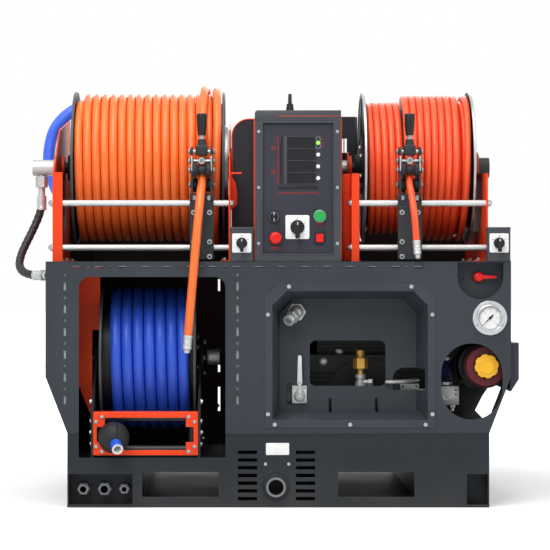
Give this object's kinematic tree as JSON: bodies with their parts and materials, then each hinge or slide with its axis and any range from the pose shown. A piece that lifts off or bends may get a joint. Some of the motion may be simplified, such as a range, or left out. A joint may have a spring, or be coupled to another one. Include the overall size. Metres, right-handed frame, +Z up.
{
  "type": "drain jetter",
  "caption": "Skid-mounted van-pack drain jetter: sheet-metal body with fork pockets, powered hose reels with sliding guides, a supply reel, control box, engine and pump.",
  "frame": {"origin": "centre of the base's underside", "axes": "+Z up, the front panel faces -Y, +X to the right seen from the front"},
  "size_m": [1.2822, 0.948, 1.0763],
  "materials": {
    "panel_grey": "fine-textured powder coat",
    "frame_orange": "semi-gloss powder coat",
    "black_metal": "satin powder coat",
    "steel": "bright zinc or stainless",
    "chrome": "polished",
    "black_plastic": "satin",
    "window_black": "glossy",
    "white_plastic": "satin",
    "red_plastic": "glossy",
    "green_plastic": "glossy",
    "yellow_plastic": "satin",
    "orange_hose": "smooth cover",
    "red_hose": "smooth cover",
    "blue_hose": "smooth cover",
    "clear_blue_hose": "translucent",
    "black_hose": "spiral guard",
    "navy_hose": "ribbed",
    "cast_grey": "as cast",
    "cast_alloy": "die cast",
    "brass": "machined"
  },
  "bodies": {
    "chassis": {"base_tub": "panel_grey", "front_panel": "panel_grey", "body_panels": "panel_grey", "deck": "panel_grey", "service_tray": "panel_grey", "reel_frames": "frame_orange", "guide_rails": "steel", "drive_housing": "black_metal", "control_box": "panel_grey", "control_panel": "black_metal", "display_module": "window_black", "switch_plates": "white_plastic", "reel_motors": "black_metal", "swivels": "steel", "whip_hose": "black_hose", "feed_hose": "clear_blue_hose", "connectors": "steel", "pressure_gauge": "chrome", "valve_bodies": "chrome", "engine": "cast_grey", "pump": "cast_alloy", "relief_valve": "brass", "air_filter": "black_plastic", "intake_hose": "navy_hose", "reel_bracket": "black_metal", "fairlead_frame": "frame_orange", "supply_hose_end": "blue_hose", "hose_stop": "black_plastic", "screws": "steel"},
    "left_reel": {"left_reel": "black_metal", "left_hose_coil": "orange_hose"},
    "right_reel": {"right_reel": "black_metal", "right_hose_coil": "red_hose"},
    "supply_reel": {"supply_reel": "black_metal", "supply_hose_coil": "blue_hose"},
    "left_guide": {"left_guide": "black_metal", "left_hose_tail": "orange_hose"},
    "right_guide": {"right_guide": "black_metal", "right_hose_tail": "red_hose"},
    "left_guide_lever": {"left_guide_lever": "black_plastic"},
    "left_upper_roller": {"left_upper_roller": "steel"},
    "left_lower_roller": {"left_lower_roller": "steel"},
    "right_guide_lever": {"right_guide_lever": "black_plastic"},
    "right_upper_roller": {"right_upper_roller": "steel"},
    "right_lower_roller": {"right_lower_roller": "steel"},
    "lead_roller_top": {"lead_roller_top": "black_plastic"},
    "lead_roller_bottom": {"lead_roller_bottom": "black_plastic"},
    "lead_roller_left": {"lead_roller_left": "black_plastic"},
    "lead_roller_right": {"lead_roller_right": "black_plastic"},
    "main_switch_knob": {"main_switch_knob": "black_plastic"},
    "left_switch_knob": {"left_switch_knob": "black_plastic"},
    "right_switch_knob": {"right_switch_knob": "black_plastic"},
    "ignition_key": {"ignition_key": "steel"},
    "stop_button": {"stop_button": "red_plastic"},
    "start_button": {"start_button": "green_plastic"},
    "rocker": {"rocker": "red_plastic"},
    "red_lever": {"red_lever": "red_plastic"},
    "outlet_lever": {"outlet_lever": "steel"},
    "gauge_needle": {"gauge_needle": "black_metal"},
    "filter_cap": {"filter_cap": "yellow_plastic"}
  },
  "joints": [
    {"name": "left_reel_spin", "type": "hinge", "parent": "chassis", "child": "left_reel", "pos_m": [-0.19232, -0.125, 0.863], "axis": [1, 0, 0], "continuous": true, "deforming": ["left_hose_tail"]},
    {"name": "left_guide_slide", "type": "slide", "parent": "chassis", "child": "left_guide", "axis": [1, 0, 0], "range_m": [-0.3137, 0.0309], "deforming": ["left_hose_tail"]},
    {"name": "left_lever_tilt", "type": "hinge", "parent": "left_guide", "child": "left_guide_lever", "pos_m": [-0.19232, -0.38, 0.892], "axis": [1, 0, 0], "range_deg": [0, 60]},
    {"name": "left_upper_roller_spin", "type": "hinge", "parent": "left_guide", "child": "left_upper_roller", "pos_m": [-0.19232, -0.39456, 0.84484], "axis": [1, 0, 0], "continuous": true},
    {"name": "left_lower_roller_spin", "type": "hinge", "parent": "left_guide", "child": "left_lower_roller", "pos_m": [-0.19232, -0.36544, 0.80917], "axis": [1, 0, 0], "continuous": true},
    {"name": "right_reel_spin", "type": "hinge", "parent": "chassis", "child": "right_reel", "pos_m": [0.33163, -0.125, 0.863], "axis": [1, 0, 0], "continuous": true, "deforming": ["right_hose_tail"]},
    {"name": "right_guide_slide", "type": "slide", "parent": "chassis", "child": "right_guide", "axis": [1, 0, 0], "range_m": [-0.087, 0.151], "deforming": ["right_hose_tail"]},
    {"name": "right_lever_tilt", "type": "hinge", "parent": "right_guide", "child": "right_guide_lever", "pos_m": [0.33163, -0.38, 0.892], "axis": [1, 0, 0], "range_deg": [0, 60]},
    {"name": "right_upper_roller_spin", "type": "hinge", "parent": "right_guide", "child": "right_upper_roller", "pos_m": [0.33163, -0.39046, 0.84526], "axis": [1, 0, 0], "continuous": true},
    {"name": "right_lower_roller_spin", "type": "hinge", "parent": "right_guide", "child": "right_lower_roller", "pos_m": [0.33163, -0.36954, 0.80874], "axis": [1, 0, 0], "continuous": true},
    {"name": "supply_reel_spin", "type": "hinge", "parent": "chassis", "child": "supply_reel", "pos_m": [-0.33197, -0.17, 0.366], "axis": [1, 0, 0], "continuous": true, "deforming": ["supply_hose_end"]},
    {"name": "lead_top_spin", "type": "hinge", "parent": "chassis", "child": "lead_roller_top", "pos_m": [-0.33197, -0.41, 0.2235], "axis": [1, 0, 0], "continuous": true},
    {"name": "lead_bottom_spin", "type": "hinge", "parent": "chassis", "child": "lead_roller_bottom", "pos_m": [-0.33197, -0.41, 0.1445], "axis": [1, 0, 0], "continuous": true},
    {"name": "lead_left_spin", "type": "hinge", "parent": "chassis", "child": "lead_roller_left", "pos_m": [-0.4485, -0.39, 0.184], "axis": [0, 0, 1], "continuous": true},
    {"name": "lead_right_spin", "type": "hinge", "parent": "chassis", "child": "lead_roller_right", "pos_m": [-0.21544, -0.39, 0.184], "axis": [0, 0, 1], "continuous": true},
    {"name": "main_switch_turn", "type": "hinge", "parent": "chassis", "child": "main_switch_knob", "pos_m": [0.048, -0.414, 0.701], "axis": [0, 1, 0], "range_deg": [-60, 60]},
    {"name": "left_switch_turn", "type": "hinge", "parent": "chassis", "child": "left_switch_knob", "pos_m": [-0.0914, -0.42, 0.661], "axis": [0, 1, 0], "range_deg": [-45, 45]},
    {"name": "right_switch_turn", "type": "hinge", "parent": "chassis", "child": "right_switch_knob", "pos_m": [0.5525, -0.42, 0.661], "axis": [0, 1, 0], "range_deg": [-45, 45]},
    {"name": "key_turn", "type": "hinge", "parent": "chassis", "child": "ignition_key", "pos_m": [-0.011, -0.414, 0.726], "axis": [0, 1, 0], "range_deg": [0, 90]},
    {"name": "stop_press", "type": "slide", "parent": "chassis", "child": "stop_button", "axis": [0, 1, 0], "range_m": [0, 0.005], "stiffness_N_per_m": 1500},
    {"name": "start_press", "type": "slide", "parent": "chassis", "child": "start_button", "axis": [0, 1, 0], "range_m": [0, 0.004], "stiffness_N_per_m": 1000},
    {"name": "rocker_tilt", "type": "hinge", "parent": "chassis", "child": "rocker", "pos_m": [0.104, -0.415, 0.674], "axis": [1, 0, 0], "range_deg": [0, 10]},
    {"name": "red_valve_turn", "type": "hinge", "parent": "chassis", "child": "red_lever", "pos_m": [0.504, -0.405, 0.576], "axis": [0, 1, 0], "range_deg": [0, 90]},
    {"name": "outlet_valve_turn", "type": "hinge", "parent": "chassis", "child": "outlet_lever", "pos_m": [0.056, -0.335, 0.273], "axis": [0, 1, 0], "range_deg": [0, 90]},
    {"name": "needle_turn", "type": "hinge", "parent": "chassis", "child": "gauge_needle", "pos_m": [0.529, -0.432, 0.4735], "axis": [0, 1, 0], "range_deg": [0, 270]},
    {"name": "filter_cap_twist", "type": "hinge", "parent": "chassis", "child": "filter_cap", "pos_m": [0.523, -0.405, 0.352], "axis": [0, 1, 0], "range_deg": [0, 90]}
  ]
}
